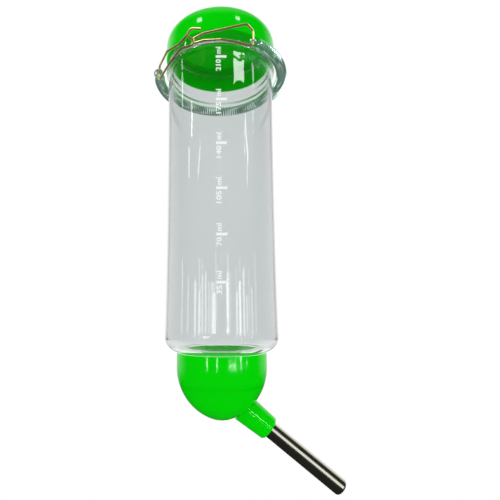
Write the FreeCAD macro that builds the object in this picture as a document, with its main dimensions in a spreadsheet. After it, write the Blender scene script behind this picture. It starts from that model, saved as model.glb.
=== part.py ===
"""Hanging rabbit water bottle: clear barrel, two bowl-shaped caps, steel drinking tube, spring hanger.

Every size in the sheet is in millimetres and every height is counted from the foot of the
barrel, where the spout cap's rim meets it. The finished pieces are then lowered together, so
that the model's own origin lies on the bottle's axis at the level the hanger takes hold of.
+Z is up, and the drinking tube points towards +X.
"""
import FreeCAD, Part
import math
import os

import Sketcher
from FreeCAD import Placement, Rotation, Vector

SHEET = "dims"

DRIVING = {
    # barrel
    "barrel_r": 25.2, "waist_r": 24.93, "foot_r": 25.42, "wall": 1.1,
    "foot_corner": 7.0, "collar_z": 126.0, "mouth_z": 146.5,
    "bead_z": 132.7, "bead_half": 1.3, "bead_round": 1.31, "neck_r": 17.2, "neck_bore": 15.4,
    "neck_len": 12.0,
    # screw thread between barrel and spout cap
    "thread_pitch": 4.0, "thread_turns": 1.5, "thread_depth": 0.95, "thread_root": 1.6,
    "thread_crest": 0.8, "thread_sink": 0.25, "thread_top": 2.6,
    # spout cap
    "cap_r": 20.0, "cap_gap": 0.3, "cap_straight": 6.4, "cap_side_r": 23.5, "cap_turn": 69.0,
    "cap_wall": 1.85, "cap_bore": 18.7, "shelf": 1.6, "shelf_r": 15.4,
    "seal_thick": 1.8, "seal_outer": 18.3, "seal_inner": 15.8,
    # spout
    "spout_z": 16.6, "spout_drop": 38.5, "boss_near": 12.0, "boss_near_r": 6.0,
    "boss_end": 26.6, "boss_end_r": 5.1, "boss_round": 1.4, "boss_lip": 0.9, "boss_mouth_gap": 0.1,
    "bush_r": 4.2, "bush_near": 17.6, "bush_far": 25.6,
    "pipe_r": 3.5, "pipe_wall": 0.4, "pipe_near": 14.0, "pipe_end": 65.2, "lip_r": 1.95,
    "roll_r": 1.4, "ball_r": 2.85, "ball_gap": 0.1,
    # top cap
    "dome_r": 26.4, "skirt_z": 138.9, "shoulder_z": 145.4, "dome_side_r": 8.0,
    "dome_turn": 52.4, "dome_wall": 0.9, "rib_outer": 24.3, "rib_inner": 22.9,
    "rib_bite": 0.2, "rib_slope": 1.1, "rim_seal_top": 148.4, "rim_seal_outer": 24.5,
    "rim_seal_inner": 22.6, "seal_gap": 0.05,
    # hanger
    "ring_r": 29.5, "ring_back": 1.45, "ring_z": 129.6, "ring_tilt": 3.05, "coil_r": 2.5,
    "spring_wire": 0.6, "ring_start": -56.0, "ring_sweep": 244.0, "wire_r": 0.5,
    "bend_r": 1.6, "hang_z": 131.4,
}


class Size:
    """A number together with the sheet expression that gives it."""

    def __init__(self, value, text):
        self.value = float(value)
        self.text = text

    def _join(self, other, sign, value):
        """The Size for this one and another, joined by an arithmetic sign."""
        text = other.text if isinstance(other, Size) else repr(float(other))
        return Size(value, f"({self.text} {sign} {text})")

    def __add__(self, other):
        return self._join(other, "+", self.value + number(other))

    def __sub__(self, other):
        return self._join(other, "-", self.value - number(other))

    def __mul__(self, other):
        return self._join(other, "*", self.value * number(other))

    def __truediv__(self, other):
        return self._join(other, "/", self.value / number(other))

    def __neg__(self):
        return Size(-self.value, f"(0 - {self.text})")


def number(size):
    """The plain number in a Size, or the number itself."""
    return size.value if isinstance(size, Size) else float(size)


def cosine(angle):
    """The cosine of a Size in degrees."""
    return Size(math.cos(math.radians(angle.value)), f"cos({angle.text} * 1 deg)")


def sine(angle):
    """The sine of a Size in degrees."""
    return Size(math.sin(math.radians(angle.value)), f"sin({angle.text} * 1 deg)")


doc = FreeCAD.newDocument("rabbit_water_bottle")
sheet = doc.addObject("Spreadsheet::Sheet", SHEET)
for row, (word, amount) in enumerate(DRIVING.items(), start=1):
    sheet.set(f"A{row}", word)
    sheet.set(f"B{row}", str(amount))
    sheet.setAlias(f"B{row}", word)
doc.recompute()


def dim(word):
    """The driving size with this alias."""
    return Size(DRIVING[word], f"{SHEET}.{word}")


def plane(body, role):
    """One of a body's own origin planes."""
    return next(item for item in body.Origin.OriginFeatures if item.Role == role)


def new_body(label):
    """An empty body with this name."""
    body = doc.addObject("PartDesign::Body", label)
    body.Label = label
    return body


def new_sketch(body, name, role="XZ_Plane"):
    """A sketch on the plane through the axis: its x is the radius and its y the height."""
    sketch = body.newObject("Sketcher::SketchObject", name)
    sketch.AttachmentSupport = [(plane(body, role), "")]
    sketch.MapMode = "FlatFace"
    return sketch


def bind(sketch, constraint, size):
    """Add a constraint of a given size and tie it to the sheet where the size comes from it."""
    index = sketch.addConstraint(constraint)
    if isinstance(size, Size):
        sketch.setExpression(f"Constraints[{index}]", size.text)


def fix_point(sketch, geo, end, x, y):
    """Hold one end of a curve at a radius and a height."""
    if number(x) == 0:
        sketch.addConstraint(Sketcher.Constraint("PointOnObject", geo, end, -2))
    else:
        bind(sketch, Sketcher.Constraint("DistanceX", -1, 1, geo, end, number(x)), x)
    if number(y) == 0:
        sketch.addConstraint(Sketcher.Constraint("PointOnObject", geo, end, -1))
    else:
        bind(sketch, Sketcher.Constraint("DistanceY", -1, 1, geo, end, number(y)), y)


def arc_between(first, last, radius, side):
    """The short arc between two points, bulging to the left of the way there if side is 1."""
    middle = (first + last) * 0.5
    chord = last - first
    left = Vector(-chord.y, chord.x, 0)
    left.normalize()
    rise = radius - math.sqrt(radius * radius - chord.Length * chord.Length / 4)
    return Part.Arc(first, middle + left * (side * rise), last)


def draw_outline(sketch, corners):
    """Draw a closed outline. Each corner is (x, y), or (x, y, radius, side) if an arc leads to it."""
    points = [Vector(number(corner[0]), number(corner[1]), 0) for corner in corners]
    ends = []
    for index, corner in enumerate(corners):
        first = points[index - 1]
        last = points[index]
        if len(corner) == 2:
            curve = Part.LineSegment(first, last)
        else:
            curve = arc_between(first, last, number(corner[2]), corner[3])
        geo = sketch.addGeometry(curve, False)
        start_gap = sketch.getPoint(geo, 1).distanceToPoint(first)
        end_gap = sketch.getPoint(geo, 2).distanceToPoint(first)
        turned = start_gap > end_gap
        ends.append((geo, 2, 1) if turned else (geo, 1, 2))
    for index, corner in enumerate(corners):
        geo, _, last_end = ends[index]
        next_geo, next_first, _ = ends[(index + 1) % len(corners)]
        sketch.addConstraint(Sketcher.Constraint("Coincident", geo, last_end, next_geo, next_first))
        fix_point(sketch, geo, last_end, corner[0], corner[1])
        if len(corner) == 4:
            bind(sketch, Sketcher.Constraint("Radius", geo, number(corner[2])), corner[2])


def turn(body, name, corners, kind="PartDesign::Revolution"):
    """Turn an outline a full circle about the body's own Z axis."""
    sketch = new_sketch(body, f"{name}_outline")
    draw_outline(sketch, corners)
    feature = body.newObject(kind, name)
    feature.Profile = sketch
    feature.ReferenceAxis = (sketch, ["V_Axis"])
    feature.Angle = 360
    sketch.Visibility = False
    doc.recompute()
    return feature


def add_thread(body, name, root_r, crest_r, middle_z):
    """A right-handed ridge of the screw thread, whose lowest turn is centred on middle_z."""
    half_root = dim("thread_root") / 2
    half_crest = dim("thread_crest") / 2
    sketch = new_sketch(body, f"{name}_outline")
    draw_outline(sketch, [
        (root_r, middle_z - half_root),
        (crest_r, middle_z - half_crest),
        (crest_r, middle_z + half_crest),
        (root_r, middle_z + half_root),
    ])
    ridge = body.newObject("PartDesign::AdditiveHelix", name)
    ridge.Profile = sketch
    ridge.ReferenceAxis = (sketch, ["V_Axis"])
    ridge.Mode = "pitch-turns-angle"
    ridge.Angle = 0
    ridge.setExpression("Pitch", dim("thread_pitch").text)
    ridge.setExpression("Turns", dim("thread_turns").text)
    sketch.Visibility = False
    doc.recompute()
    return ridge


def lowered(rotation=None):
    """The placement of a piece whose heights are counted from the foot of the barrel."""
    return Placement(Vector(0, 0, -DRIVING["hang_z"]), rotation or Rotation())


def along_spout():
    """The placement of a piece that was drawn upright but lies along the drinking tube."""
    start = Vector(0, 0, -DRIVING["spout_z"] - DRIVING["hang_z"])
    return Placement(start, Rotation(Vector(0, 1, 0), 90 + DRIVING["spout_drop"]))


def make_barrel():
    """The clear barrel: open mouth, hanging bead, faint waist, rounded foot and threaded neck."""
    wall = dim("wall")
    barrel_r = dim("barrel_r")
    foot_r = dim("foot_r")
    foot_corner = dim("foot_corner")
    waist_span = (dim("collar_z") - foot_corner) / 2
    dip = (foot_r + barrel_r) / 2 - dim("waist_r")
    waist_arc = (waist_span * waist_span + dip * dip) / (dip * 2)
    body = new_body("bottle_body")
    turn(body, "shell", [
        (dim("neck_r"), -dim("neck_len")),
        (dim("neck_r"), 0),
        (foot_r - foot_corner, 0),
        (foot_r, foot_corner, foot_corner, -1),
        (barrel_r, dim("collar_z"), waist_arc, 1),
        (barrel_r, dim("bead_z") - dim("bead_half")),
        (barrel_r, dim("bead_z") + dim("bead_half"), dim("bead_round"), -1),
        (barrel_r, dim("mouth_z")),
        (barrel_r - wall, dim("mouth_z")),
        (barrel_r - wall, dim("collar_z")),
        (foot_r - wall, foot_corner, waist_arc + wall, -1),
        (foot_r - foot_corner, wall, foot_corner - wall, 1),
        (dim("neck_bore"), wall),
        (dim("neck_bore"), -dim("neck_len")),
    ])
    start = -dim("thread_top") - dim("thread_pitch") * dim("thread_turns")
    root = dim("neck_r") - dim("thread_sink")
    add_thread(body, "neck_thread", root, dim("neck_r") + dim("thread_depth"), start)
    body.Placement = lowered()
    return body


def bowl_points(wall):
    """End of the bowl's side arc and the radius and lowest point of its nose, a wall further in."""
    side = dim("cap_side_r") - wall
    centre_r = dim("cap_r") - dim("cap_side_r")
    angle = dim("cap_turn")
    end_r = centre_r + side * cosine(angle)
    end_z = -dim("cap_straight") - side * sine(angle)
    nose = centre_r / cosine(angle) + side
    low_z = end_z + nose * sine(angle) - nose
    return side, end_r, end_z, nose, low_z


def make_spout_cap():
    """The green bowl that screws onto the neck and carries the tube in its slanting boss."""
    body = new_body("spout_cap")
    side, end_r, end_z, nose, low_z = bowl_points(Size(0, "0"))
    turn(body, "bowl", [
        (0, -dim("cap_gap")),
        (0, low_z),
        (end_r, end_z, nose, -1),
        (dim("cap_r"), -dim("cap_straight"), side, -1),
        (dim("cap_r"), -dim("cap_gap")),
    ])
    boss = body.newObject("PartDesign::AdditiveCone", "boss")
    boss.setExpression("Radius1", f"{SHEET}.boss_near_r")
    boss.setExpression("Radius2", f"{SHEET}.boss_end_r")
    boss.setExpression("Height", f"{SHEET}.boss_end - {SHEET}.boss_near")
    slant = Rotation(Vector(0, 1, 0), 90 + DRIVING["spout_drop"])
    start = Vector(0, 0, -DRIVING["spout_z"]) + slant.multVec(Vector(0, 0, DRIVING["boss_near"]))
    boss.Placement = Placement(start, slant)
    doc.recompute()
    tip = Vector(0, 0, -DRIVING["spout_z"]) + slant.multVec(Vector(0, 0, DRIVING["boss_end"]))
    rims = [f"Edge{index}" for index, edge in enumerate(boss.Shape.Edges, start=1)
            if edge.Closed and edge.CenterOfMass.distanceToPoint(tip) < 0.05]
    rounding = body.newObject("PartDesign::Fillet", "boss_rounding")
    rounding.Base = (boss, rims)
    rounding.setExpression("Radius", f"{SHEET}.boss_round")
    doc.recompute()
    side, end_r, end_z, nose, low_z = bowl_points(dim("cap_wall"))
    seat_z = -dim("neck_len") - dim("seal_thick") - dim("seal_gap") * 2
    under_z = seat_z - dim("shelf")
    drop = (-dim("cap_straight") - under_z) / side
    under_r = Size(
        dim("cap_r").value - dim("cap_side_r").value + side.value * math.sqrt(1 - drop.value ** 2),
        f"({SHEET}.cap_r - {SHEET}.cap_side_r + {side.text} * sqrt(1 - {drop.text} ^ 2))")
    turn(body, "hollow", [
        (0, low_z),
        (end_r, end_z, nose, -1),
        (under_r, under_z, side, -1),
        (dim("shelf_r"), under_z),
        (dim("shelf_r"), seat_z),
        (dim("cap_bore"), seat_z),
        (dim("cap_bore"), 0),
        (0, 0),
    ], "PartDesign::Groove")
    bore = body.newObject("PartDesign::SubtractiveCylinder", "boss_bore")
    bore.setExpression("Radius", f"{SHEET}.bush_r")
    bore.setExpression("Height", f"{SHEET}.boss_end - {SHEET}.boss_near - {SHEET}.boss_lip")
    bore.Placement = Placement(start, slant)
    mouth = body.newObject("PartDesign::SubtractiveCylinder", "boss_mouth")
    mouth.setExpression("Radius", f"{SHEET}.pipe_r + {SHEET}.boss_mouth_gap")
    mouth.setExpression("Height", f"{SHEET}.boss_end")
    mouth.Placement = Placement(start, slant)
    doc.recompute()
    start_z = -dim("thread_top") - dim("thread_pitch") * dim("thread_turns") - dim("thread_pitch") / 2
    crest = dim("cap_bore") - dim("thread_depth")
    add_thread(body, "cap_thread", dim("cap_bore") + dim("thread_sink"), crest, start_z)
    body.Placement = lowered()
    return body


def make_spout_cap_seal():
    """The flat silicone washer that the end of the neck presses on."""
    body = new_body("spout_cap_seal")
    top = -dim("neck_len") - dim("seal_gap")
    low = top - dim("seal_thick")
    turn(body, "washer", [
        (dim("seal_inner"), low), (dim("seal_outer"), low),
        (dim("seal_outer"), top), (dim("seal_inner"), top),
    ])
    body.Placement = lowered()
    return body


def make_tube_bush():
    """The silicone sleeve that grips the steel tube inside the boss."""
    body = new_body("tube_bush")
    turn(body, "sleeve", [
        (dim("pipe_r"), dim("bush_near")), (dim("bush_r"), dim("bush_near")),
        (dim("bush_r"), dim("bush_far")), (dim("pipe_r"), dim("bush_far")),
    ])
    body.Placement = along_spout()
    return body


def make_drinking_tube():
    """The steel tube, both of whose ends are rolled in to keep the balls."""
    body = new_body("drinking_tube")
    pipe_r = dim("pipe_r")
    wall = dim("pipe_wall")
    roll = dim("roll_r")
    near = dim("pipe_near")
    far = dim("pipe_end")
    turn(body, "pipe", [
        (pipe_r, near + roll, roll, -1),
        (pipe_r, far - roll),
        (pipe_r - roll, far, roll, -1),
        (dim("lip_r"), far),
        (dim("lip_r"), far - wall),
        (pipe_r - roll, far - wall),
        (pipe_r - wall, far - roll, roll - wall, 1),
        (pipe_r - wall, near + roll),
        (pipe_r - roll, near + wall, roll - wall, 1),
        (dim("lip_r"), near + wall),
        (dim("lip_r"), near),
        (pipe_r - roll, near),
    ])
    body.Placement = along_spout()
    return body


def make_ball(label, place):
    """A steel valve ball with its centre this far along the tube's axis."""
    ball = doc.addObject("Part::Sphere", label)
    ball.Label = label
    ball.setExpression("Radius", f"{SHEET}.ball_r")
    spout = along_spout()
    ball.Placement = Placement(spout.multVec(Vector(0, 0, place)), spout.Rotation)
    return ball


def make_top_cap():
    """The green domed lid: a skirt over the mouth, a rounded shoulder and a flatter crown."""
    body = new_body("top_cap")
    angle = dim("dome_turn")
    centre_r = dim("dome_r") - dim("dome_side_r")

    def arcs(wall):
        """Side radius, end of the side arc, crown radius and top of the crown, a wall further in."""
        side = dim("dome_side_r") - wall
        end_r = centre_r + side * cosine(angle)
        end_z = dim("shoulder_z") + side * sine(angle)
        crown = centre_r / cosine(angle) + side
        return side, end_r, end_z, crown, end_z - crown * sine(angle) + crown

    side, end_r, end_z, crown, top_z = arcs(Size(0, "0"))
    in_side, in_r, in_z, in_crown, in_top = arcs(dim("dome_wall"))
    turn(body, "dome", [
        (dim("dome_r") - dim("dome_wall"), dim("skirt_z")),
        (dim("dome_r"), dim("skirt_z")),
        (dim("dome_r"), dim("shoulder_z")),
        (end_r, end_z, side, -1),
        (0, top_z, crown, -1),
        (0, in_top),
        (in_r, in_z, in_crown, 1),
        (dim("dome_r") - dim("dome_wall"), dim("shoulder_z"), in_side, 1),
    ])
    turn(body, "seal_rib", [
        (dim("rib_inner"), dim("rim_seal_top")),
        (dim("rib_outer"), dim("rim_seal_top")),
        (dim("rib_outer"), in_z - dim("rib_bite")),
        (dim("rib_inner"), in_z - dim("rib_bite") + dim("rib_slope")),
    ])
    body.Placement = lowered()
    return body


def make_top_cap_seal():
    """The silicone ring between the lid's rib and the rim of the mouth."""
    body = new_body("top_cap_seal")
    low = dim("mouth_z") + dim("seal_gap")
    high = dim("rim_seal_top") - dim("seal_gap")
    turn(body, "ring", [
        (dim("rim_seal_inner"), low), (dim("rim_seal_outer"), low),
        (dim("rim_seal_outer"), high), (dim("rim_seal_inner"), high),
    ])
    body.Placement = lowered()
    return body


def make_spring():
    """The hanger spring: the hollow tube that its close turns of wire fill, bent round the barrel."""
    body = new_body("hanger_spring")
    sketch = new_sketch(body, "coil_section")
    for index, radius in enumerate((dim("coil_r"), dim("coil_r") - dim("spring_wire"))):
        centre = Vector(DRIVING["ring_r"], 0, 0)
        geo = sketch.addGeometry(Part.Circle(centre, Vector(0, 0, 1), radius.value), False)
        fix_point(sketch, geo, 3, dim("ring_r"), 0)
        bind(sketch, Sketcher.Constraint("Radius", geo, radius.value), radius)
    coil = body.newObject("PartDesign::Revolution", "coil")
    coil.Profile = sketch
    coil.ReferenceAxis = (sketch, ["V_Axis"])
    coil.setExpression("Angle", f"{SHEET}.ring_sweep")
    doc.recompute()
    body.Placement = ring_place().multiply(
        Placement(Vector(), Rotation(Vector(0, 0, 1), DRIVING["ring_start"])))
    return body


def ring_place():
    """The plane that the spring lies in: a little forward of the axis, and higher in front."""
    centre = Vector(0, -DRIVING["ring_back"], DRIVING["ring_z"] - DRIVING["hang_z"])
    return Placement(centre, Rotation(Vector(1, 0, 0), -DRIVING["ring_tilt"]))


def bent_wire(label, points):
    """A round wire through the given points, with a bend of the usual radius at each corner."""
    radius = DRIVING["wire_r"]
    drop = Vector(0, 0, -DRIVING["hang_z"])
    points = [Vector(*point) + drop for point in points]
    edges = []
    start = points[0]
    for before, point, after in zip(points, points[1:], points[2:]):
        back = before - point
        ahead = after - point
        half = back.getAngle(ahead) / 2
        trim = min(DRIVING["bend_r"] / math.tan(half), 0.45 * min(back.Length, ahead.Length))
        reach = trim * math.tan(half)
        back.normalize()
        ahead.normalize()
        inward = back + ahead
        inward.normalize()
        middle = point + inward * (reach / math.sin(half) - reach)
        edges.append(Part.LineSegment(start, point + back * trim).toShape())
        start = point + ahead * trim
        edges.append(Part.Arc(point + back * trim, middle, start).toShape())
    edges.append(Part.LineSegment(start, points[-1]).toShape())
    path = Part.Wire(edges)
    section = Part.Wire([Part.makeCircle(radius, points[0], points[1] - points[0])])
    pipe = path.makePipeShell([section], True, False)
    if pipe.Volume < 0:
        pipe = pipe.reversed()
    expected = path.Length * math.pi * radius * radius
    print(f"{label}: volume {pipe.Volume:.2f}, section times length {expected:.2f}")
    feature = doc.addObject("Part::Feature", label)
    feature.Label = label
    feature.Shape = pipe
    return feature


# The hook starts at its upper tip, runs back to the left end of the spring, round the bar that
# turns in the spring's end loop, and forward again to its lower tip.
HOOK_POINTS = [
    (-8.0, -31.3, 134.9), (-12.2, -30.7, 135.6), (-14.4, -29.4, 132.9), (-17.2, -27.2, 131.2),
    (-23.8, -19.6, 132.9), (-28.9, -7.9, 133.4), (-28.9, -7.9, 126.4), (-22.8, -19.8, 126.7),
    (-16.6, -27.4, 128.9), (-12.4, -30.2, 127.9), (-10.6, -31.0, 129.6), (-12.9, -31.3, 131.3),
]

# The eye is a loop whose two ends meet in its lower leg. Its right bar turns in the spring's
# other end loop.
EYE_POINTS = [
    (6.0, -29.3, 130.3), (14.1, -27.9, 129.0), (14.2, -27.9, 136.0), (11.4, -29.2, 138.4),
    (-7.2, -29.4, 134.2), (-11.6, -28.9, 132.2), (-11.4, -28.9, 130.0), (-7.0, -29.4, 131.0),
    (0.5, -29.9, 130.9), (5.9, -29.3, 130.3),
]

pieces = [
    make_barrel(), make_top_cap(), make_top_cap_seal(), make_spout_cap(), make_spout_cap_seal(),
    make_tube_bush(), make_drinking_tube(),
]
tip_place = (DRIVING["pipe_end"] - DRIVING["pipe_wall"] - DRIVING["ball_gap"]
             - math.sqrt(DRIVING["ball_r"] ** 2 - DRIVING["lip_r"] ** 2))
pieces.append(make_ball("tip_ball", tip_place))
pieces.append(make_ball("back_ball", tip_place - 2 * DRIVING["ball_r"] - DRIVING["ball_gap"]))
pieces.append(make_spring())
pieces.append(bent_wire("hook_link", HOOK_POINTS))
pieces.append(bent_wire("eye_link", EYE_POINTS))
doc.recompute()

for item in doc.Objects:
    if "Invalid" in item.State or "Error" in item.State:
        raise RuntimeError(f"{item.Label} failed: {item.State}")
os.makedirs("parts", exist_ok=True)
for piece in pieces:
    shape = piece.Shape
    if shape.isNull() or not shape.isValid():
        raise RuntimeError(f"{piece.Label} has no valid shape")
    box = shape.BoundBox
    print(f"{piece.Label}: {len(shape.Solids)} solid, {shape.Volume:.1f} mm3, "
          f"z {box.ZMin:.1f} to {box.ZMax:.1f}")
    shape.exportStep(f"parts/{piece.Label}.step")
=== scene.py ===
"""Looks of the hanging rabbit water bottle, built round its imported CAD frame.

Lengths in the dataclass fields are millimetres, and heights are counted from the foot of the
barrel, as in the part's own sheet. One function turns them into the frame's metres. The barrel
stands on the Z axis, the drinking tube points towards +X, and the clasp is on the -Y side.
"""

import logging
import math
from dataclasses import dataclass
from enum import Enum
from typing import Any, Optional, Sequence

import bpy
import numpy as np
from mathutils import Matrix


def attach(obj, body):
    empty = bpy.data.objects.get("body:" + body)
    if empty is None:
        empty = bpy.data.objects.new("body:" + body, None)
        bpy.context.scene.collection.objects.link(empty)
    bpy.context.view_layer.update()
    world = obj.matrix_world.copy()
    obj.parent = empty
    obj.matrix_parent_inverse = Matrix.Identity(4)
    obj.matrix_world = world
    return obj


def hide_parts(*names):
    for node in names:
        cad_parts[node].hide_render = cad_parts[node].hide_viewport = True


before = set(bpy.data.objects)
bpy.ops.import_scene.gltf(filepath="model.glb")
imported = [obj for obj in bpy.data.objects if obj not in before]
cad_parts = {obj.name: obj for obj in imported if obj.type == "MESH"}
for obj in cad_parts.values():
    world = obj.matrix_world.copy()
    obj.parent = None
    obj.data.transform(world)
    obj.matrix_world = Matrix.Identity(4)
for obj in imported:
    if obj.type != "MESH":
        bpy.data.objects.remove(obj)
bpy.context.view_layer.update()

LOG = logging.getLogger("rabbit_water_bottle")
# How far the frame's origin is above the foot of the barrel, in mm.
HANG_LEVEL = 131.4
# An array of points, or of one coordinate of them.
Grid = np.ndarray


def in_frame(points: Grid) -> Grid:
    """Millimetres above the barrel's foot turned into metres in the frame."""
    return (np.asarray(points, float) - np.array([0.0, 0.0, HANG_LEVEL])) * 0.001


def linear(colour: str) -> tuple[float, float, float, float]:
    """The linear RGBA of an sRGB hex colour.

    Args:
        colour: Six hex digits after a #.

    Returns:
        Red, green, blue and an alpha of 1, by the sRGB curve ((c + 0.055) / 1.055) ** 2.4.
    """
    levels = [int(colour[at:at + 2], 16) / 255 for at in (1, 3, 5)]
    light = [c / 12.92 if c <= 0.04045 else ((c + 0.055) / 1.055) ** 2.4 for c in levels]
    return light[0], light[1], light[2], 1.0


def per_metre(size_mm: float) -> float:
    """The scale of a pattern on Object coordinates whose features are this many mm wide."""
    return 1000.0 / size_mm


# ------------------------------------------------------------------------------------ meshes


def skin(name: str, grid: Grid, wrap: bool, poles: Optional[Grid] = None,
         sharp: float = 40.0) -> bpy.types.Object:
    """A smooth mesh over a grid of points whose columns run round and join up.

    Face (row v, column u) has corners (v, u), (v, u+1), (v+1, u+1) and (v+1, u), so it faces
    outwards where columns run anticlockwise and rows run up the outside.

    Args:
        name: The piece's name.
        grid: Rows by columns by xyz, in mm above the foot.
        wrap: Whether the last row joins the first one.
        poles: Two points that close the first and the last row, if wrap is off.
        sharp: Edges turned by more than this many degrees stay crisp.

    Returns:
        The linked object, in place and with no material yet.
    """
    rows, columns, _ = grid.shape
    index = np.arange(rows * columns).reshape(rows, columns)
    if wrap:
        index = np.vstack([index, index[:1]])
    ahead = np.roll(index, -1, axis=1)
    quads = np.stack([index[:-1], ahead[:-1], ahead[1:], index[1:]], axis=-1).reshape(-1, 4)
    points = grid.reshape(-1, 3)
    faces = quads.tolist()
    if poles is not None:
        low = np.full(columns, len(points))
        fans = [np.stack([low, ahead[0], index[0]], axis=-1),
                np.stack([index[-1], ahead[-1], low + 1], axis=-1)]
        points = np.vstack([points, poles])
        faces += np.vstack(fans).tolist()
    mesh = bpy.data.meshes.new(name)
    mesh.from_pydata(in_frame(points), [], faces)
    mesh.polygons.foreach_set("use_smooth", np.ones(len(mesh.polygons), bool))
    mesh.set_sharp_from_angle(angle=math.radians(sharp))
    made = bpy.data.objects.new(name, mesh)
    bpy.context.scene.collection.objects.link(made)
    return made


def turned(outline: Grid, columns: int) -> Grid:
    """A profile carried round Z: (r cos a, r sin a, z).

    Args:
        outline: Points of radius and height.
        columns: How many places round the axis.

    Returns:
        Rows of the profile by columns round the axis by xyz.
    """
    angle = np.linspace(0, 2 * math.pi, columns, endpoint=False)
    radius, height = outline[:, :1], outline[:, 1:]
    return np.stack([radius * np.cos(angle), radius * np.sin(angle),
                     np.broadcast_to(height, (len(outline), columns))], axis=-1)


def arc(centre: Sequence[float], radius: float, start: float, end: float, steps: int) -> Grid:
    """Points centre + radius * (cos a, sin a) for angles from start to end, in degrees."""
    angle = np.radians(np.linspace(start, end, steps))
    return np.stack([centre[0] + radius * np.cos(angle), centre[1] + radius * np.sin(angle)], -1)


def wire(name: str, path: Grid, outward: Grid, radius: float, sides: int) -> bpy.types.Object:
    """A round wire along a path.

    With t the path's direction, s the outward vector made square to t and b = t x s, the wall is
    path + radius * (s cos a + b sin a).

    Args:
        name: The piece's name.
        path: The wire's centre line, points by xyz.
        outward: For each point a vector that isn't along the path and turns smoothly.
        radius: The wire's radius.
        sides: How many flats stand for the round section.

    Returns:
        The linked object, closed at both ends.
    """
    along = np.gradient(path, axis=0)
    along /= np.linalg.norm(along, axis=1, keepdims=True)
    side = outward - np.sum(outward * along, axis=1, keepdims=True) * along
    side /= np.linalg.norm(side, axis=1, keepdims=True)
    other = np.cross(along, side)
    angle = np.linspace(0, 2 * math.pi, sides, endpoint=False)[None, :, None]
    grid = path[:, None] + radius * (side[:, None] * np.cos(angle) + other[:, None] * np.sin(angle))
    return skin(name, grid, wrap=False, poles=path[[0, -1]])


# ---------------------------------------------------------------------------------- finishes


def add_node(tree: bpy.types.NodeTree, kind: str, settings: Optional[dict[str, Any]] = None,
             inputs: Optional[dict[str, Any]] = None) -> bpy.types.Node:
    """Add a node, set its properties and fill its sockets.

    Args:
        tree: The node tree that gets it.
        kind: The node's type name.
        settings: Property values by name.
        inputs: Socket values by name or index; an output socket is linked instead of copied.

    Returns:
        The new node.
    """
    made = tree.nodes.new(kind)
    for word, value in (settings or {}).items():
        setattr(made, word, value)
    for socket, value in (inputs or {}).items():
        if isinstance(value, bpy.types.NodeSocket):
            tree.links.new(value, made.inputs[socket])
        else:
            made.inputs[socket].default_value = value
    return made


@dataclass(frozen=True)
class Finish:
    """A real material: its usual numbers, its shades and the fine relief of how it was made.

    Attributes:
        name: The material's name.
        shade: Main colour as sRGB hex.
        shade_far: The colour at the other end of its slow variation.
        roughness: Middle roughness.
        roughness_swing: How far roughness wanders either way.
        metallic: 1 for a bare metal.
        ior: Refractive index; None leaves the shader's own value, as for metals.
        transmission: 1 for a clear material.
        cloud_mm: Width of the patches in which shade and roughness wander.
        relief_mm: Width of the relief's features across their run.
        stretch: How many times longer than wide the relief runs, along the piece's own length.
        relief_depth_mm: Height of the relief.
        lean: Degrees by which the relief's run leans from Z towards +X.
        subsurface: Share of light that scatters inside.
        scatter_mm: How far red, green and blue light travel inside.
    """

    name: str
    shade: str
    shade_far: str
    roughness: float
    roughness_swing: float = 0.03
    metallic: float = 0.0
    ior: Optional[float] = 1.5
    transmission: float = 0.0
    cloud_mm: float = 12.0
    relief_mm: float = 0.8
    stretch: float = 1.0
    relief_depth_mm: float = 0.01
    lean: float = 0.0
    subsurface: float = 0.0
    scatter_mm: tuple[float, float, float] = (1.0, 1.0, 1.0)

    def make(self) -> bpy.types.Material:
        """Build the material's nodes.

        Returns:
            The material, whose patterns read Object coordinates.
        """
        made = bpy.data.materials.new(self.name)
        made.use_nodes = True
        tree = made.node_tree
        tree.nodes.clear()
        place = add_node(tree, "ShaderNodeTexCoord").outputs["Object"]
        cloud = add_node(tree, "ShaderNodeTexNoise", None,
                         {"Vector": place, "Scale": per_metre(self.cloud_mm), "Detail": 3.0})
        colour = add_node(tree, "ShaderNodeMix", {"data_type": "RGBA"},
                          {0: cloud.outputs["Fac"], 6: linear(self.shade),
                           7: linear(self.shade_far)})
        # Noise hardly leaves 0.3 to 0.7, so that band is spread over the whole swing.
        rough = add_node(tree, "ShaderNodeMapRange", None,
                         {"Value": cloud.outputs["Fac"], "From Min": 0.3, "From Max": 0.7,
                          "To Min": max(0.0, self.roughness - self.roughness_swing),
                          "To Max": self.roughness + self.roughness_swing})
        run = add_node(tree, "ShaderNodeMapping", {"vector_type": "TEXTURE"},
                       {"Vector": place, "Rotation": (0.0, math.radians(self.lean), 0.0),
                        "Scale": (1.0, 1.0, self.stretch)})
        relief = add_node(tree, "ShaderNodeTexNoise", None,
                          {"Vector": run.outputs["Vector"], "Scale": per_metre(self.relief_mm),
                           "Detail": 2.0})
        bump = add_node(tree, "ShaderNodeBump", None,
                        {"Height": relief.outputs["Fac"], "Strength": 1.0,
                         "Distance": self.relief_depth_mm * 0.001})
        shader = add_node(tree, "ShaderNodeBsdfPrincipled", None,
                          {"Base Color": colour.outputs[2], "Roughness": rough.outputs["Result"],
                           "Metallic": self.metallic, "Transmission Weight": self.transmission,
                           "Normal": bump.outputs["Normal"]})
        if self.ior is not None:
            shader.inputs["IOR"].default_value = self.ior
        if self.subsurface:
            shader.inputs["Subsurface Weight"].default_value = self.subsurface
            shader.inputs["Subsurface Radius"].default_value = self.scatter_mm
            shader.inputs["Subsurface Scale"].default_value = 0.001
        add_node(tree, "ShaderNodeOutputMaterial", None, {"Surface": shader.outputs["BSDF"]})
        return made


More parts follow.
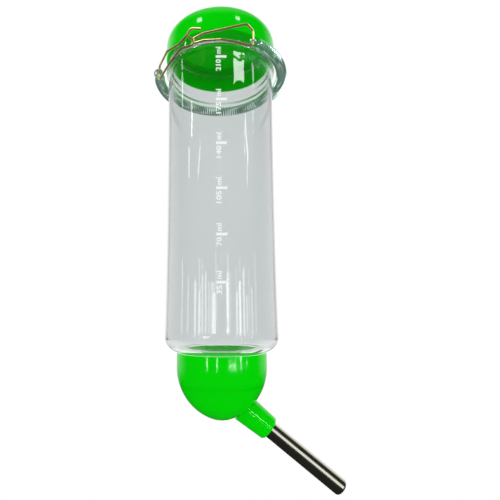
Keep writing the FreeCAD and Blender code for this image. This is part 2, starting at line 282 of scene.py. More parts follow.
# Blown PET: water-clear with a cool grey cast. Stretching the hot preform leaves faint upright
# flow lines, which bend what is seen through the wall.
CLEAR_PET = Finish("blown_clear_pet", "#E9EDEE", "#EFF1F1", 0.02, 0.01, ior=1.575,
                   transmission=1.0, cloud_mm=30.0, relief_mm=6.0, stretch=14.0,
                   relief_depth_mm=0.035)
# Injection-moulded polypropylene with a bright green pigment. The polished mould gives the
# gloss, shrinkage a very faint ripple in it, and the plastic lets green light through, so its
# shaded side stays a clear green.
GREEN_PP = Finish("moulded_green_polypropylene", "#00CC00", "#00C703", 0.08, 0.02, ior=1.47,
                  cloud_mm=16.0, relief_mm=3.0, relief_depth_mm=0.006,
                  subsurface=0.6, scatter_mm=(0.1, 1.6, 0.15))
# Pressed silicone rubber: milky, soft and slightly dusty, so it has a wide dull sheen.
MILKY_SILICONE = Finish("milky_silicone_rubber", "#E2E5DF", "#D9DDD5", 0.48, 0.06, ior=1.41,
                        cloud_mm=4.0, relief_mm=0.4, relief_depth_mm=0.01, subsurface=0.35)
# The lid's ring is the same rubber with green in it, so it hardly shows inside the lid.
GREEN_SILICONE = Finish("green_silicone_rubber", "#10B418", "#0EAA16", 0.4, 0.05, ior=1.41,
                        cloud_mm=4.0, relief_mm=0.4, relief_depth_mm=0.01, subsurface=0.35)
# Drawn stainless tube: bright, with hair lines along the tube from the die.
DRAWN_STEEL = Finish("drawn_stainless_steel", "#D8D6C4", "#DEDCCC", 0.2, 0.02, metallic=1.0,
                     ior=None, cloud_mm=5.0, relief_mm=0.3, stretch=60.0,
                     relief_depth_mm=0.0002, lean=128.5)
# Ground and tumbled stainless ball: a near mirror with a few faint patches.
BALL_STEEL = Finish("polished_stainless_ball", "#CFCFCD", "#C4C4C2", 0.07, 0.02, metallic=1.0,
                    ior=None, cloud_mm=1.5, relief_mm=0.3, relief_depth_mm=0.0005)
# Zinc-plated spring steel: a little cloudy, with the die's scratches. Its green-teal tint is
# painted light: it stands in for the green light that the lid casts onto the coil and that the
# coil mirrors. The thin milky film of passivated zinc scatters some light, so it is a little
# short of a bare metal.
GREEN_LIT_SPRING_WIRE = Finish("plated_spring_steel_painted_green_light", "#C6E8DC", "#B6DACE", 0.12, 0.03, metallic=0.85,
                     ior=None, cloud_mm=3.0, relief_mm=0.2, relief_depth_mm=0.003)
# Nickel-plated bent wire: the plating is warmer, and dull and slightly hazy where the bends
# have stretched it, which again leaves it short of a bare metal.
LINK_WIRE = Finish("nickel_plated_wire", "#DCCB92", "#CBBB84", 0.17, 0.04, metallic=0.88,
                   ior=None, cloud_mm=2.5, relief_mm=0.25, relief_depth_mm=0.003)
# Screen-printed white ink: matt and dense, with an uneven skin from the mesh of the screen.
WHITE_INK = Finish("white_screen_ink", "#F4F6F6", "#E6E9EA", 0.55, 0.05, ior=1.5,
                   cloud_mm=1.2, relief_mm=0.3, relief_depth_mm=0.01)


def dress(piece: bpy.types.Object, finish: bpy.types.Material) -> None:
    """Give every face of a piece one material."""
    piece.data.materials.clear()
    piece.data.materials.append(finish)


def dress_node(node: str, finish: bpy.types.Material) -> None:
    """Give a CAD node that stays in view its real finish, by its material slots.

    Args:
        node: The node's name.
        finish: Its material.
    """
    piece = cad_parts[node]
    for place in piece.material_slots:
        place.material = finish
    LOG.info("%s keeps its CAD shape and gets %s", node, finish.name)


def seat(piece: bpy.types.Object, body: str, finish: bpy.types.Material,
         stands_for: Optional[str] = None) -> None:
    """Dress a new piece, let it ride on its body and report it.

    Args:
        piece: The new piece.
        body: The CAD body that it moves with.
        finish: Its material.
        stands_for: The CAD node that it replaces, if any.
    """
    dress(piece, finish)
    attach(piece, body)
    if stands_for is not None:
        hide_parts(stands_for)
    LOG.info("%s rides on %s, %d faces", piece.name, body, len(piece.data.polygons))


# ------------------------------------------------------------------------------------ barrel


@dataclass
class Barrel:
    """The clear bottle: open mouth, hanging bead, faint waist, rounded foot, threaded neck.

    The bead is a blown ridge, so the inside of the wall follows it.
    """

    radius: float = 25.2
    waist: float = 24.93
    foot: float = 25.42
    wall: float = 1.1
    corner: float = 7.0
    collar: float = 126.0
    mouth: float = 146.5
    bead_height: float = 132.7
    bead_half: float = 2.2
    bead_rise: float = 1.15
    bead_share_inside: float = 0.9
    rim: float = 3.0
    neck: float = 17.2
    bore: float = 15.4
    neck_length: float = 12.0
    pitch: float = 4.0
    turns: float = 1.5
    ridge: float = 0.95
    ridge_root: float = 1.6
    ridge_crest: float = 0.8
    ridge_top: float = 2.6
    ridge_run_out: float = 0.1
    lip_round: float = 0.3
    root_round: float = 0.3
    columns: int = 256

    def wall_radius(self, height: Grid) -> Grid:
        """The outside radius between foot corner and collar.

        The side is a circle through both ends that dips to the waist halfway: with h the height
        above the middle, s the half span, d the dip and R = (s^2 + d^2) / 2d, the radius is
        waist + R - sqrt(R^2 - h^2), plus the ends' even taper.

        Args:
            height: Heights above the foot.

        Returns:
            The radius at each height.
        """
        span = (self.collar - self.corner) / 2
        middle = (self.collar + self.corner) / 2
        dip = (self.foot + self.radius) / 2 - self.waist
        bow = (span * span + dip * dip) / (2 * dip)
        away = np.clip(height - middle, -span, span)
        taper = (self.radius - self.foot) / 2 * away / span
        return self.waist + bow - np.sqrt(bow * bow - away * away) + taper

    def bead(self, base: float, rise: float) -> Grid:
        """The bead's side view: base + rise * cos(pi * h / (2 * half)) ** 2 over its height.

        Args:
            base: The radius that it swells from.
            rise: How far it swells.

        Returns:
            Points of radius and height, from below upwards.
        """
        away = np.linspace(-1, 1, 21)
        swell = np.cos(away * math.pi / 2) ** 2
        return np.stack([base + rise * swell, self.bead_height + self.bead_half * away], -1)

    def outline(self) -> Grid:
        """The closed profile, up the outside and down the inside.

        Returns:
            Points of radius and height.
        """
        inner_corner = self.corner - self.wall
        side = np.linspace(self.corner, self.collar, 34)
        lip, root = self.lip_round, self.root_round
        neck = np.linspace(-self.neck_length + lip, -root, 46)
        return np.vstack([
            arc((self.neck - lip, -self.neck_length + lip), lip, -90, 0, 4),
            np.stack([np.full(len(neck), self.neck), neck], -1)[1:],
            arc((self.neck + root, -root), root, 180, 90, 4)[1:],
            arc((self.foot - self.corner, self.corner), self.corner, -90, 0, 18),
            np.stack([self.wall_radius(side), side], -1)[1:],
            self.bead(self.radius, self.bead_rise),
            np.array([[self.radius, self.mouth - self.rim]]),
            arc((self.radius - lip, self.mouth - lip), lip, 0, 90, 4),
            arc((self.radius - self.wall + lip, self.mouth - lip), lip, 90, 180, 4),
            np.array([[self.radius - self.wall, self.mouth - self.rim]]),
            self.bead(self.radius - self.wall, self.bead_rise * self.bead_share_inside)[::-1],
            np.stack([self.wall_radius(side) - self.wall, side], -1)[::-1],
            arc((self.foot - self.corner, self.corner), inner_corner, 0, -90, 14)[1:],
            arc((self.bore + root, self.wall - root), root, 90, 180, 4),
            np.array([[self.bore, -self.rim], [self.bore, self.rim - self.neck_length]]),
            arc((self.bore + lip, -self.neck_length + lip), lip, 180, 270, 4),
        ])

    def thread_relief(self, points: Grid) -> Grid:
        """Lift the neck's wall into a right-handed ridge.

        The ridge's middle rises by pitch for each turn. A point at a distance d from it goes out
        by ridge * (root/2 - d) / (root/2 - crest/2), held between 0 and ridge, and the ridge
        fades in and out over the run-out's share of a turn at its ends.

        Args:
            points: The neck's outside points.

        Returns:
            How far each point goes out.
        """
        start = -self.ridge_top - self.pitch * self.turns
        turn = (np.arctan2(points[..., 1], points[..., 0]) / (2 * math.pi)) % 1.0
        lap = np.round((points[..., 2] - start) / self.pitch - turn)
        gone = lap + turn
        gap = np.abs(points[..., 2] - start - gone * self.pitch)
        rise = (self.ridge_root / 2 - gap) / (self.ridge_root / 2 - self.ridge_crest / 2)
        ends = np.clip(np.minimum(gone, self.turns - gone) / self.ridge_run_out, 0, 1)
        return self.ridge * np.clip(rise, 0, 1) * ends

    def build(self, finish: bpy.types.Material) -> None:
        """Make the shell with its thread, and seat it.

        Clear plastic passes light on to what is inside it, so the shell casts no shadow, and
        the green parts behind it neither bounce its white light nor mirror it: they keep their
        full colour.

        Args:
            finish: The clear plastic.
        """
        grid = turned(self.outline(), self.columns)
        radius = np.linalg.norm(grid[..., :2], axis=-1)
        on_neck = (np.abs(radius - self.neck) < 0.01) & (grid[..., 2] < 0)
        lift = np.where(on_neck, self.thread_relief(grid), 0.0)
        grid[..., :2] *= ((radius + lift) / radius)[..., None]
        shell = skin("bottle_shell", grid, wrap=True)
        shell.visible_diffuse = False
        shell.visible_glossy = False
        shell.visible_shadow = False
        seat(shell, "bottle", finish, "bottle_body")


class Glyphs(Enum):
    """What a line of print says beside a division of the scale."""

    NUMBER = "number"
    UNIT = "unit"


@dataclass
class VolumeScale:
    """The printed scale on the front wall: six divisions with their numbers and units."""

    barrel: Barrel
    first: float = 29.25
    step: float = 19.42
    volumes: tuple[int, ...] = (35, 70, 105, 140, 175, 210)
    left: float = -1.9
    right: float = 2.7
    bar: float = 1.1
    baseline: float = 0.3
    glyph_height: float = 2.2
    gap: float = 0.75
    ink: float = 0.04
    off_wall: float = 0.02
    number_length: float = 5.2
    unit_length: float = 3.2
    type_size: float = 10.0
    type_spread: float = 0.22

    def on_wall(self, across: Grid, up: Grid, out: Grid) -> Grid:
        """Bend flat print round the front of the barrel.

        With R the wall's radius at that height, the point lies at angle across / R from the
        front, at radius R + out.

        Args:
            across: Distance to the right of the middle of the front.
            up: Height above the foot.
            out: Distance off the wall.

        Returns:
            The points on the wall.
        """
        wall = self.barrel.wall_radius(up)
        angle = across / wall - math.pi / 2
        return np.stack([(wall + out) * np.cos(angle), (wall + out) * np.sin(angle), up], -1)

    def lettering(self, name: str, words: str, length: float) -> tuple[Grid, list[list[int]]]:
        """A short line of type as a flat solid mesh, its strokes spread a little by the ink.

        Args:
            name: A name for the passing text object.
            words: What it says.
            length: How long the line is when it is set.

        Returns:
            Its points, with x along the line from 0 to length, y from the baseline up to the
            glyph height and z through the ink, and its faces.
        """
        curve = bpy.data.curves.new(name, "FONT")
        curve.body = words
        curve.size = self.type_size
        curve.extrude = 0.5
        curve.offset = self.type_spread
        curve.resolution_u = 3
        text = bpy.data.objects.new(name, curve)
        bpy.context.scene.collection.objects.link(text)
        bpy.context.view_layer.update()
        graph = bpy.context.evaluated_depsgraph_get()
        mesh = bpy.data.meshes.new_from_object(text.evaluated_get(graph))
        points = np.empty(len(mesh.vertices) * 3)
        mesh.vertices.foreach_get("co", points)
        points = points.reshape(-1, 3)
        faces = [list(face.vertices) for face in mesh.polygons]
        bpy.data.objects.remove(text)
        bpy.data.meshes.remove(mesh)
        low, high = points.min(0), points.max(0)
        size = np.array([length, self.glyph_height, self.ink])
        return (points - low) / (high - low) * size, faces

    def build(self, finish: bpy.types.Material) -> None:
        """Print the bars, the numbers below them and the units above them.

        Args:
            finish: The ink.
        """
        points: list[Grid] = []
        faces: list[list[int]] = []
        for count, volume in enumerate(self.volumes):
            level = self.first + self.step * count
            self.add_bar(points, faces, level)
            number = str(volume)
            length = self.number_length * len(number) / 3
            start = level - self.bar / 2 - self.gap - length
            self.add_line(points, faces, Glyphs.NUMBER, number, length, start)
            start = level + self.bar / 2 + self.gap
            self.add_line(points, faces, Glyphs.UNIT, "ml", self.unit_length, start)
        mesh = bpy.data.meshes.new("volume_scale")
        mesh.from_pydata(in_frame(np.vstack(points)), [], faces)
        made = bpy.data.objects.new("volume_scale", mesh)
        bpy.context.scene.collection.objects.link(made)
        seat(made, "bottle", finish)

    def add_bar(self, points: list[Grid], faces: list[list[int]], level: float) -> None:
        """Print one division: 13 steps round the wall, as an ink-thick closed strip.

        Args:
            points: The print's points so far.
            faces: Its faces so far.
            level: The division's height.
        """
        across = np.linspace(self.left, self.right, 14)[:, None]
        up = level + np.array([[-0.5, 0.5, 0.5, -0.5]]) * self.bar
        out = np.array([[1.0, 1.0, 0.0, 0.0]]) * self.ink + self.off_wall
        across, up, out = np.broadcast_arrays(across, up, out)
        base = sum(len(batch) for batch in points)
        index = base + np.arange(across.size).reshape(across.shape)
        ahead = np.roll(index, -1, axis=1)
        quads = np.stack([index[:-1], index[1:], ahead[1:], ahead[:-1]], -1).reshape(-1, 4)
        points.append(self.on_wall(across, up, out).reshape(-1, 3))
        faces += quads.tolist() + [index[0].tolist(), index[-1][::-1].tolist()]

    def add_line(self, points: list[Grid], faces: list[list[int]], kind: Glyphs, words: str,
                 length: float, start: float) -> None:
        """Set a line of type up the wall, with the tops of its glyphs to the left.

        Args:
            points: The print's points so far.
            faces: Its faces so far.
            kind: Which line this is.
            words: What it says.
            length: Its length up the wall.
            start: The height of its first glyph.
        """
        flat, sides = self.lettering(f"{kind.value}_{words}", words, length)
        base = sum(len(batch) for batch in points)
        points.append(self.on_wall(self.baseline - flat[:, 1], start + flat[:, 0],
                                   self.off_wall + flat[:, 2]))
        faces += [[base + corner for corner in side] for side in sides]


# ----------------------------------------------------------------------------------- top cap


@dataclass
class TopCap:
    """The green domed lid, with its sealing rib and the silicone ring on the mouth's rim."""

    radius: float = 26.4
    wall: float = 0.9
    skirt: float = 138.9
    shoulder: float = 145.4
    side_radius: float = 8.0
    side_turn: float = 52.4
    rib_outer: float = 24.3
    rib_inner: float = 22.9
    rib_foot: float = 148.4
    edge_round: float = 0.3
    gate: float = 1.6
    gate_depth: float = 0.35
    columns: int = 224

    def arcs(self, inset: float, steps: int) -> Grid:
        """Side arc and crown, a wall further in.

        Args:
            inset: How far inside the outer skin.
            steps: Points on each arc.

        Returns:
            The profile from the shoulder to the top of the crown.
        """
        turn = math.radians(self.side_turn)
        centre = self.radius - self.side_radius
        side = self.side_radius - inset
        crown = centre / math.cos(turn) + side
        crown_height = self.shoulder - centre * math.tan(turn)
        return np.vstack([arc((centre, self.shoulder), side, 0, self.side_turn, steps),
                          arc((0.0, crown_height), crown, self.side_turn, 90, steps)[1:]])

    def outline(self) -> Grid:
        """The profile from the crown's inside, down, round the skirt's edge and up outside.

        It ends in the moulding's gate mark, a shallow round dimple with a nub in its middle.

        Returns:
            Points of radius and height, with the first and the last on or near the axis.
        """
        inner = self.arcs(self.wall, 30)[::-1]
        outer = self.arcs(0.0, 40)
        heights = np.interp([self.rib_inner, self.rib_outer], inner[:, 0], inner[:, 1])
        soft = self.edge_round
        rib = np.vstack([
            [[self.rib_inner, heights[0]]],
            arc((self.rib_inner + soft, self.rib_foot + soft), soft, 180, 270, 4),
            arc((self.rib_outer - soft, self.rib_foot + soft), soft, -90, 0, 4),
            [[self.rib_outer, heights[1]]],
        ])
        inside = inner[inner[:, 0] < self.rib_inner - 0.2]
        below = inner[inner[:, 0] > self.rib_outer + 0.1]
        edge = self.skirt + soft
        gate = np.array([[self.gate, 0.0], [self.gate - 0.25, -self.gate_depth * 0.7],
                         [self.gate - 0.5, -self.gate_depth], [0.5, -self.gate_depth],
                         [0.3, -self.gate_depth * 0.4], [0.0, -self.gate_depth * 0.3]])
        top = outer[-1, 1]
        return np.vstack([
            inside, rib, below,
            arc((self.radius - self.wall + soft, edge), soft, 180, 270, 5),
            arc((self.radius - soft, edge), soft, -90, 0, 5),
            outer[outer[:, 0] > self.gate + 0.15],
            gate + [0.0, top - 0.02],
        ])

    def build(self, plastic: bpy.types.Material, rubber: bpy.types.Material) -> None:
        """Make the lid with its gate mark, and dress its seal.

        Args:
            plastic: The lid's material.
            rubber: The seal's material.
        """
        outline = self.outline()
        lid = skin("top_cap_lid", turned(outline[1:-1], self.columns), wrap=False,
                   poles=np.array([[0.0, 0.0, outline[0, 1]], [0.0, 0.0, outline[-1, 1]]]))
        seat(lid, "top_cap", plastic, "top_cap")
        dress_node("top_cap_seal", rubber)


# ------------------------------------------------------------------------------------- spout


@dataclass
class Spout:
    """The screw cap with its slanting boss, the steel tube in its bush, and the two balls."""

    def build(self, plastic: bpy.types.Material, rubber: bpy.types.Material,
              steel: bpy.types.Material, ball: bpy.types.Material) -> None:
        """Dress the cap, the seal, the bush, the tube and the balls.

        Args:
            plastic: The screw cap's material.
            rubber: The seal's and the bush's.
            steel: The tube's.
            ball: The two balls'.
        """
        dress_node("spout_cap", plastic)
        dress_node("spout_cap_seal", rubber)
        dress_node("tube_bush", rubber)
        dress_node("drinking_tube", steel)
        dress_node("tip_ball", ball)
        dress_node("back_ball", ball)


# ------------------------------------------------------------------------------------ hanger


@dataclass
class Hanger:
    """The close-wound spring round the barrel and the two bent links of its clasp."""

    ring: float = 29.5
    set_back: float = 1.45
    height: float = 129.6
    tilt: float = 3.05
    coil: float = 2.5
    thickness: float = 0.6
    start: float = -56.0
    sweep: float = 244.0
    turns: int = 100
    points_a_turn: int = 24
    loop: float = 1.25
    loop_turns: float = 1.33
    loop_points: int = 40
    loop_rise: float = 0.9
    eye_bar: tuple[float, float, float] = (14.1, -27.9, 131.0)
    hook_bar: tuple[float, float, float] = (-28.9, -7.9, 130.6)

    def laid(self, points: Grid) -> Grid:
        """Tilt the ring's own plane and set it a little forward, at its height.

        Args:
            points: Points round the ring's own middle.

        Returns:
            The same points in place on the barrel.
        """
        lean = math.radians(-self.tilt)
        turn = np.array([[1, 0, 0], [0, math.cos(lean), -math.sin(lean)],
                         [0, math.sin(lean), math.cos(lean)]])
        return points @ turn.T + np.array([0.0, -self.set_back, self.height])

    def helix(self) -> tuple[Grid, Grid]:
        """The spring's centre line and its outward vectors.

        With a going round the ring from start over sweep, and b = turns * 2 pi * share of the
        way, the wire is at ((ring + c cos b) cos a, (ring + c cos b) sin a, c sin b), where c is
        the coil's radius to the middle of the wire.

        Returns:
            Points and, for each, the vector away from the coil's own middle.
        """
        share = np.linspace(0, 1, self.turns * self.points_a_turn)
        around = np.radians(self.start + self.sweep * share)
        spin = self.turns * 2 * math.pi * share
        reach = self.coil - self.thickness / 2
        away = np.stack([np.cos(spin) * np.cos(around), np.cos(spin) * np.sin(around),
                         np.sin(spin)], -1)
        middle = np.stack([np.cos(around), np.sin(around), np.zeros_like(around)], -1) * self.ring
        return self.laid(middle + reach * away), self.laid(middle + away) - self.laid(middle)

    def end_loop(self, last: Grid, heading: Grid, bar: Sequence[float],
                 rise: float) -> tuple[Grid, Grid]:
        """Lead the wire from the coil's end into a small ring round a link's bar.

        The lead is a cubic from the coil's last point into the ring, and the ring is
        bar + loop * (cos a, sin a) with a slow rise, for one turn and a third.

        Args:
            last: The coil's last point.
            heading: The wire's direction there.
            bar: The middle of the link's upright bar.
            rise: How far the ring climbs over its run.

        Returns:
            Points after the coil's last one, and their outward vectors.
        """
        middle = np.array(bar)
        towards = last - middle
        begin = math.atan2(towards[1], towards[0]) + math.pi / 2
        angle = begin + np.linspace(0, 2 * math.pi * self.loop_turns, self.loop_points)
        ring = np.stack([middle[0] + self.loop * np.cos(angle),
                         middle[1] + self.loop * np.sin(angle),
                         middle[2] + rise * np.linspace(-0.5, 0.5, self.loop_points)], -1)
        into = np.array([-math.sin(begin), math.cos(begin), 0.0])
        share = np.linspace(0, 1, 18)[1:-1, None]
        reach = np.linalg.norm(ring[0] - last)
        first, second = last + heading * reach * 0.6, ring[0] - into * reach * 0.5
        lead = (last * (1 - share) ** 3 + first * 3 * share * (1 - share) ** 2
                + second * 3 * share ** 2 * (1 - share) + ring[0] * share ** 3)
        path = np.vstack([lead, ring])
        away = path - (middle * [1, 1, 0] + [0, 0, 1] * path)
        return path, away + np.array([0.0, 0.0, 0.001])

    def build(self, spring: bpy.types.Material, links: bpy.types.Material) -> None:
        """Wind the spring with a loop at each end, and dress the links.

        Args:
            spring: The coil's material.
            links: The hook's and the eye's.
        """
        coil, outward = self.helix()
        first = coil[0] - coil[1]
        last = coil[-1] - coil[-2]
        head, head_out = self.end_loop(coil[0], first / np.linalg.norm(first),
                                       self.eye_bar, self.loop_rise)
        tail, tail_out = self.end_loop(coil[-1], last / np.linalg.norm(last),
                                       self.hook_bar, -self.loop_rise)
        path = np.vstack([head[::-1], coil, tail])
        away = np.vstack([head_out[::-1], outward, tail_out])
        wound = wire("hanger_coil", path, away, self.thickness / 2, 8)
        seat(wound, "hanger", spring, "hanger_spring")
        dress_node("hook_link", links)
        dress_node("eye_link", links)


# ------------------------------------------------------------------------------------ studio


# The pieces that a lamp of their own lights.
SHELL = ("bottle_shell",)
LID = ("top_cap_lid",)
SPOUT = ("spout_cap",)
TUBE = ("drinking_tube",)
CLASP = ("hanger_coil", "hook_link", "eye_link")


@dataclass(frozen=True)
class Lamp:
    """A rectangular softbox or window, given as the bottle sees it.

    Attributes:
        name: Its name.
        bearing: Degrees round from the camera's side, positive to the right.
        rise: Degrees above the level of its target.
        wide: Its width in degrees.
        high: Its height in degrees.
        glow: Its brightness, where the white cove has 1.
        roll: Degrees by which it leans in its own plane.
        distance: Millimetres from the target.
        target: What it faces, in mm above the foot.
        only: The pieces that it lights, if it isn't for the whole bottle.
        mirrored: Whether shiny pieces show it.
    """

    name: str
    bearing: float
    rise: float
    wide: float
    high: float
    glow: float
    roll: float = 0.0
    distance: float = 900.0
    target: tuple[float, float, float] = (0.0, -25.0, 60.0)
    only: tuple[str, ...] = ()
    mirrored: bool = True

    def place(self) -> None:
        """Add the lamp, out of the camera's sight."""
        data = bpy.data.lights.new(self.name, "AREA")
        data.shape = "RECTANGLE"
        data.size = 0.002 * self.distance * math.tan(math.radians(self.wide / 2))
        data.size_y = 0.002 * self.distance * math.tan(math.radians(self.high / 2))
        data.energy = self.glow * math.pi * data.size * data.size_y
        lamp = bpy.data.objects.new(self.name, data)
        turn, lift = math.radians(self.bearing), math.radians(self.rise)
        lean = math.radians(self.roll)
        back = np.array([math.sin(turn) * math.cos(lift), -math.cos(turn) * math.cos(lift),
                         math.sin(lift)])
        level = np.array([math.cos(turn), math.sin(turn), 0.0])
        plumb = np.cross(back, level)
        across = level * math.cos(lean) + plumb * math.sin(lean)
        spot = in_frame(np.array(self.target) + back * self.distance)
        columns = np.stack([across, np.cross(back, across), back], -1)
        lamp.matrix_world = Matrix.Translation(spot) @ Matrix(columns.tolist()).to_4x4()
        lamp.visible_camera = False
        lamp.visible_transmission = False
        lamp.visible_glossy = self.mirrored
        bpy.context.scene.collection.objects.link(lamp)
        if self.only:
            chosen = bpy.data.collections.new(f"lit_by_{self.name}")
            for name in self.only:
                chosen.objects.link(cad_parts.get(name) or bpy.data.objects[name])
            lamp.light_linking.receiver_collection = chosen


@dataclass
class Studio:
    """A white cove all round, softboxes and windows, a dim room to mirror, and the camera.

    The camera's pan, tilt and roll are in radians, and its lens is in mm on a 36 mm sensor.
    """

    floor_level: float = -420.0
    cove_radius: float = 1500.0
    cove_bend: float = 500.0
    cove_top: float = 1500.0
    cove_light: float = 1.0
    camera_back: float = 185.1
    camera_height: float = 18.23
    pan: float = -0.0213
    tilt: float = 0.1392
    roll: float = -0.0023
    lens: float = 29.0
    shift_x: float = 0.0747
    shift_y: float = 0.00745
    lamps: tuple[Lamp, ...] = (
        # Light for the whole bottle, then for the inside of the lid.
        Lamp("key_softbox", -35.0, 35.0, 30.0, 24.0, 1.6, mirrored=False),
        Lamp("lid_fill", 0.0, -70.0, 40.0, 40.0, 2.0, only=LID, mirrored=False),
        # A soft glow from below, which the rounded foot mirrors.
        Lamp("under_glow", 0.0, -80.0, 90.0, 90.0, 0.3, target=(0.0, 0.0, 0.0), only=SHELL),
        Lamp("left_low_glow", -115.0, -46.0, 80.0, 64.0, 0.7, distance=300.0,
             target=(-18.0, 0.0, 4.0), only=SHELL),
        Lamp("right_low_glow", 115.0, -46.0, 80.0, 64.0, 0.7, distance=300.0,
             target=(18.0, 0.0, 4.0), only=SHELL),
        # Two windows high up, mirrored on the lid and in the wall over it.
        Lamp("left_window", -42.0, 36.6, 8.0, 3.4, 14.0, target=(-8.5, -24.0, 137.0),
             only=LID + SHELL),
        Lamp("right_window", 36.5, 37.2, 7.0, 3.0, 14.0, target=(7.5, -24.0, 137.0),
             only=LID + SHELL),
        # Thin streaks down the upper half of the barrel.
        Lamp("right_strip", 40.0, 32.3, 20.0, 4.4, 10.0, target=(8.0, -24.0, 120.0), only=SHELL),
        Lamp("left_strip", -43.6, 33.6, 8.0, 0.9, 6.0, target=(-8.7, -24.0, 126.0), only=SHELL),
        Lamp("left_slit", -63.4, 26.0, 2.5, 5.2, 7.0, target=(-12.4, -22.0, 98.0), only=SHELL),
        Lamp("left_slit_low", -70.0, 20.6, 2.5, 4.6, 5.0, target=(-13.5, -21.0, 80.0), only=SHELL),
        Lamp("right_slit", 56.5, 23.3, 2.4, 9.0, 6.0, roll=42.0, target=(11.2, -22.5, 88.0),
             only=SHELL),
        # A row of window panes, mirrored low on the barrel.
        Lamp("window_a", -69.5, 1.5, 2.6, 10.0, 2.6, target=(-13.5, -21.3, 18.0), only=SHELL),
        Lamp("window_b", -44.0, 0.0, 4.0, 8.4, 2.8, target=(-8.0, -24.0, 18.0), only=SHELL),
        Lamp("window_b2", -37.0, 1.2, 2.4, 11.0, 2.4, target=(-8.0, -24.0, 18.0), only=SHELL),
        Lamp("window_c", -14.0, 0.4, 7.0, 7.4, 3.2, target=(-3.0, -25.0, 18.0), only=SHELL),
        Lamp("window_d", 11.0, 1.6, 2.2, 11.0, 2.4, target=(2.2, -25.0, 18.0), only=SHELL),
        Lamp("window_e", 30.0, 0.0, 4.0, 8.4, 3.2, target=(7.0, -24.0, 18.0), only=SHELL),
        Lamp("window_e2", 38.0, 0.8, 3.0, 10.0, 2.6, target=(7.0, -24.0, 18.0), only=SHELL),
        Lamp("window_f", 51.5, 0.0, 3.0, 7.0, 2.6, target=(10.2, -23.0, 18.0), only=SHELL),
        # Short bright bars, mirrored along the top of the screw cap.
        Lamp("bulb_left", -36.3, -7.3, 3.2, 0.3, 90.0, target=(-5.9, -19.1, -2.4), only=SPOUT),
        Lamp("bulb_mid", -11.4, -7.3, 3.0, 0.3, 100.0, target=(-1.9, -19.9, -2.5), only=SPOUT),
        Lamp("bulb_row", 27.0, -7.7, 22.0, 0.3, 36.0, target=(4.5, -19.4, -3.6), only=SPOUT),
        Lamp("bulb_right", 48.5, -6.8, 5.0, 0.3, 70.0, target=(7.8, -18.4, -1.0), only=SPOUT),
        Lamp("bulb_far", 65.1, -7.2, 3.0, 0.4, 30.0, target=(10.2, -17.2, -2.6), only=SPOUT),
        # Strips that lie along the boss and the tube.
        Lamp("boss_line", 29.0, 8.0, 36.0, 2.6, 15.0, roll=-38.5, target=(17.0, -5.0, -30.0),
             only=SPOUT),
        Lamp("tube_strip", 33.0, 8.0, 60.0, 30.0, 1.1, roll=-38.5, target=(37.0, -3.5, -45.0),
             only=TUBE),
        # The front of the clasp and the right of the spring.
        Lamp("clasp_strip", -25.0, 35.0, 30.0, 50.0, 4.0, target=(0.0, -29.0, 130.0), only=CLASP),
        Lamp("clasp_side", 60.0, 20.0, 30.0, 50.0, 4.0, target=(25.0, -15.0, 130.0), only=CLASP),
    )

    def cove(self) -> None:
        """A floor that bends up into a wall all round and closes overhead, evenly lit."""
        outline = np.vstack([
            [[0.0, self.floor_level], [self.cove_radius * 0.4, self.floor_level]],
            arc((self.cove_radius - self.cove_bend, self.floor_level + self.cove_bend),
                self.cove_bend, -90, 0, 16),
            arc((self.cove_radius - self.cove_bend, self.cove_top - self.cove_bend),
                self.cove_bend, 0, 90, 16),
            [[self.cove_radius * 0.4, self.cove_top], [0.0, self.cove_top]],
        ])
        inward = outline[::-1]
        poles = np.array([[0.0, 0.0, inward[0, 1]], [0.0, 0.0, inward[-1, 1]]])
        cove = skin("studio_cove", turned(inward[1:-1], 96), wrap=False, poles=poles)
        paper = bpy.data.materials.new("lit_white_paper")
        paper.use_nodes = True
        tree = paper.node_tree
        tree.nodes.clear()
        glow = add_node(tree, "ShaderNodeEmission", None,
                        {"Color": linear("#FFFFFF"), "Strength": self.cove_light})
        add_node(tree, "ShaderNodeOutputMaterial", None, {"Surface": glow.outputs["Emission"]})
        dress(cove, paper)
        cove.visible_glossy = False

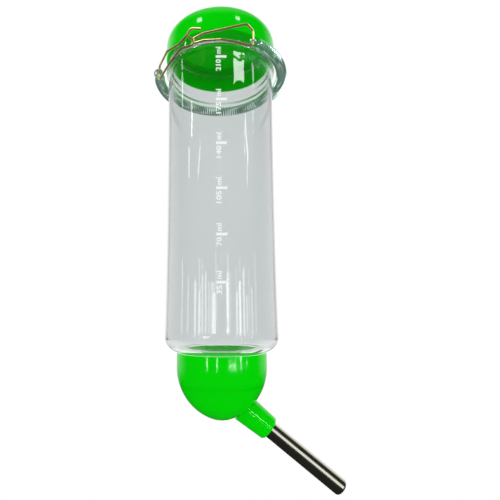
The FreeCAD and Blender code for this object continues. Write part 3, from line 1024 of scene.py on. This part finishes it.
    def room(self) -> None:
        """What shiny pieces mirror: white behind the bottle, a lit patch overhead, dark in front.

        With the direction's y going back and its z going up, the brightness is the larger of
        step(y) * step(z), for the white backdrop, and the ceiling's rise, which is a faint 0.02
        until z passes 0.72 and full only straight overhead.
        """
        world = bpy.data.worlds.new("room")
        bpy.context.scene.world = world
        world.use_nodes = True
        tree = world.node_tree
        tree.nodes.clear()
        look = add_node(tree, "ShaderNodeTexCoord")
        split = add_node(tree, "ShaderNodeSeparateXYZ", None, {"Vector": look.outputs["Generated"]})
        behind = add_node(tree, "ShaderNodeMapRange", {"interpolation_type": "SMOOTHSTEP"},
                          {"Value": split.outputs["Y"], "From Min": 0.05, "From Max": 0.65,
                           "To Min": 0.0, "To Max": 1.0})
        above = add_node(tree, "ShaderNodeMapRange", {"interpolation_type": "SMOOTHSTEP"},
                         {"Value": split.outputs["Z"], "From Min": -0.35, "From Max": 0.0,
                          "To Min": 0.0, "To Max": 1.0})
        drop = add_node(tree, "ShaderNodeMath", {"operation": "MULTIPLY"},
                        {0: behind.outputs["Result"], 1: above.outputs["Result"]})
        ceiling = add_node(tree, "ShaderNodeMapRange", {"interpolation_type": "SMOOTHSTEP"},
                           {"Value": split.outputs["Z"], "From Min": 0.72, "From Max": 0.98,
                            "To Min": 0.02, "To Max": 0.45})
        light = add_node(tree, "ShaderNodeMath", {"operation": "MAXIMUM"},
                         {0: drop.outputs["Value"], 1: ceiling.outputs["Result"]})
        sky = add_node(tree, "ShaderNodeBackground", None,
                       {"Color": linear("#FFFFFF"), "Strength": light.outputs["Value"]})
        add_node(tree, "ShaderNodeOutputWorld", None, {"Surface": sky.outputs["Background"]})

    def camera(self) -> None:
        """A wide lens close to the bottle and below its middle, looking up a little."""
        data = bpy.data.cameras.new("camera")
        data.lens, data.sensor_width = self.lens, 36.0
        data.shift_x, data.shift_y = self.shift_x, self.shift_y
        data.clip_start, data.clip_end = 0.005, 10.0
        made = bpy.data.objects.new("camera", data)
        level = np.array([math.sin(self.pan), math.cos(self.pan), 0.0])
        across = np.array([math.cos(self.pan), -math.sin(self.pan), 0.0])
        rise = np.array([0.0, 0.0, 1.0])
        ahead = level * math.cos(self.tilt) + rise * math.sin(self.tilt)
        upward = -level * math.sin(self.tilt) + rise * math.cos(self.tilt)
        right = across * math.cos(self.roll) + upward * math.sin(self.roll)
        top = -across * math.sin(self.roll) + upward * math.cos(self.roll)
        columns = np.stack([right, top, -ahead], -1)
        spot = in_frame(np.array([0.0, -self.camera_back, self.camera_height]))
        made.matrix_world = Matrix.Translation(spot) @ Matrix(columns.tolist()).to_4x4()
        bpy.context.scene.collection.objects.link(made)
        bpy.context.scene.camera = made

    def build(self) -> None:
        """Set up the cove, the room, the lamps, the camera and plain colour rendering."""
        self.cove()
        self.room()
        for lamp in self.lamps:
            lamp.place()
        self.camera()
        bpy.context.scene.view_settings.view_transform = "Standard"


def main() -> None:
    """Build and report every sub-assembly, then the studio."""
    logging.basicConfig(level=logging.INFO, format="%(name)s: %(message)s")
    barrel = Barrel()
    barrel.build(CLEAR_PET.make())
    VolumeScale(barrel).build(WHITE_INK.make())
    green = GREEN_PP.make()
    silicone = MILKY_SILICONE.make()
    TopCap().build(green, GREEN_SILICONE.make())
    Spout().build(green, silicone, DRAWN_STEEL.make(), BALL_STEEL.make())
    Hanger().build(GREEN_LIT_SPRING_WIRE.make(), LINK_WIRE.make())
    Studio().build()


if __name__ == "__main__":
    main()
